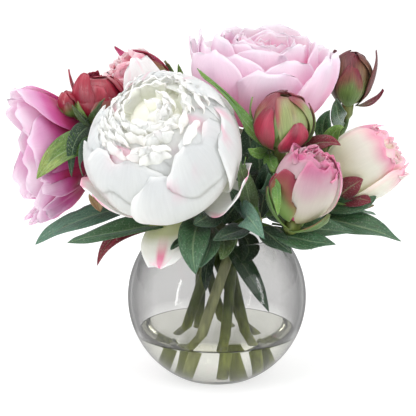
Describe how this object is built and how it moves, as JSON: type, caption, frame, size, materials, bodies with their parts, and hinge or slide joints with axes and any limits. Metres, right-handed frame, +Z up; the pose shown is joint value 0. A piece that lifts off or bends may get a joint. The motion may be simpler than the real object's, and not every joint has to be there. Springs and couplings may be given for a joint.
{
  "type": "peonies in a vase",
  "caption": "Round clear glass vase part filled with water, holding a low bunch of white and pink peonies, buds and leaves.",
  "frame": {"origin": "centre of the vase's flat foot, where it stands on the table", "axes": "+Z up, -Y towards the viewer in the picture, +X to the viewer's right"},
  "size_m": [0.34, 0.2593, 0.2875],
  "materials": {
    "glass": "polished",
    "water": "gloss",
    "white_petals": "matte",
    "pink_petals": "matte",
    "rose_petals": "matte",
    "blush_petals": "matte",
    "red_bud_petals": "satin",
    "green_bud_petals": "satin",
    "stems_and_leaves": "satin"
  },
  "bodies": {
    "root": {"vase": "glass", "water": "water", "white_peony": "white_petals", "pink_peony_top": "pink_petals", "pink_peony_left": "rose_petals", "red_bud_left": "red_bud_petals", "opening_bud_left": "blush_petals", "centre_bud": "green_bud_petals", "right_bud": "green_bud_petals", "pink_bud": "pink_petals", "blush_bud": "blush_petals", "back_peony": "white_petals", "back_blush_bud": "blush_petals", "stem_white_peony": "stems_and_leaves", "stem_pink_bud": "stems_and_leaves", "stem_blush_bud": "stems_and_leaves", "stem_pink_peony_top": "stems_and_leaves", "stem_back_peony": "stems_and_leaves", "stem_opening_bud": "stems_and_leaves", "stem_pink_peony_left": "stems_and_leaves"}
  },
  "joints": []
}
